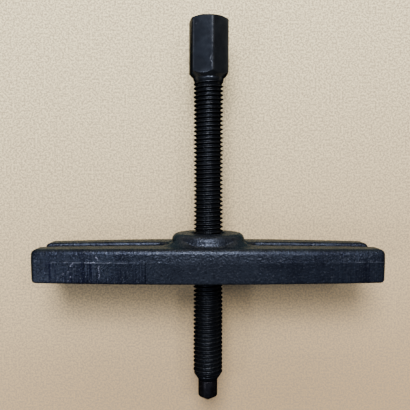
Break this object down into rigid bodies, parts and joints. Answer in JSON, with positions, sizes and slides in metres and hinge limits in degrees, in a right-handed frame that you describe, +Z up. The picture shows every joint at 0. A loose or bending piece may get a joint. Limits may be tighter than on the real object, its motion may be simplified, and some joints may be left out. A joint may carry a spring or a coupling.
{
  "type": "puller yoke with forcing screw",
  "caption": "Flat forged puller yoke with open-ended slots in both arms and a threaded boss carrying a long hex-head forcing screw with a coned swivel tip.",
  "frame": {"origin": "on the surface the tool lies on, under the middle of its bounding box; the yoke is centred on X = 0 and the screw's axis is 22 mm up", "axes": "+X along the yoke's arms, +Y along the forcing screw towards its hex head, +Z up"},
  "size_m": [0.1588, 0.1818, 0.044],
  "materials": {
    "phosphated_steel": "satin",
    "oxide_steel": "satin",
    "hardened_steel": "satin",
    "spring_wire": "bright"
  },
  "bodies": {
    "yoke": {"yoke": "phosphated_steel"},
    "pin": {"pressure_pin": "hardened_steel", "pin_retaining_ring": "spring_wire"},
    "screw": {"forcing_screw": "oxide_steel"}
  },
  "joints": [
    {"name": "screw_feed", "type": "slide", "parent": "yoke", "child": "pin", "axis": [0, -1, 0], "range_m": [-0.044, 0.068]},
    {"name": "screw_turn", "type": "hinge", "parent": "pin", "child": "screw", "pos_m": [0, -0.03045, 0.022], "axis": [0, -1, 0], "range_deg": [-7921, 12241]}
  ],
  "couplings": [
    {"joint": "screw_turn", "follows": "screw_feed", "rad_per_m": 3141.6}
  ]
}
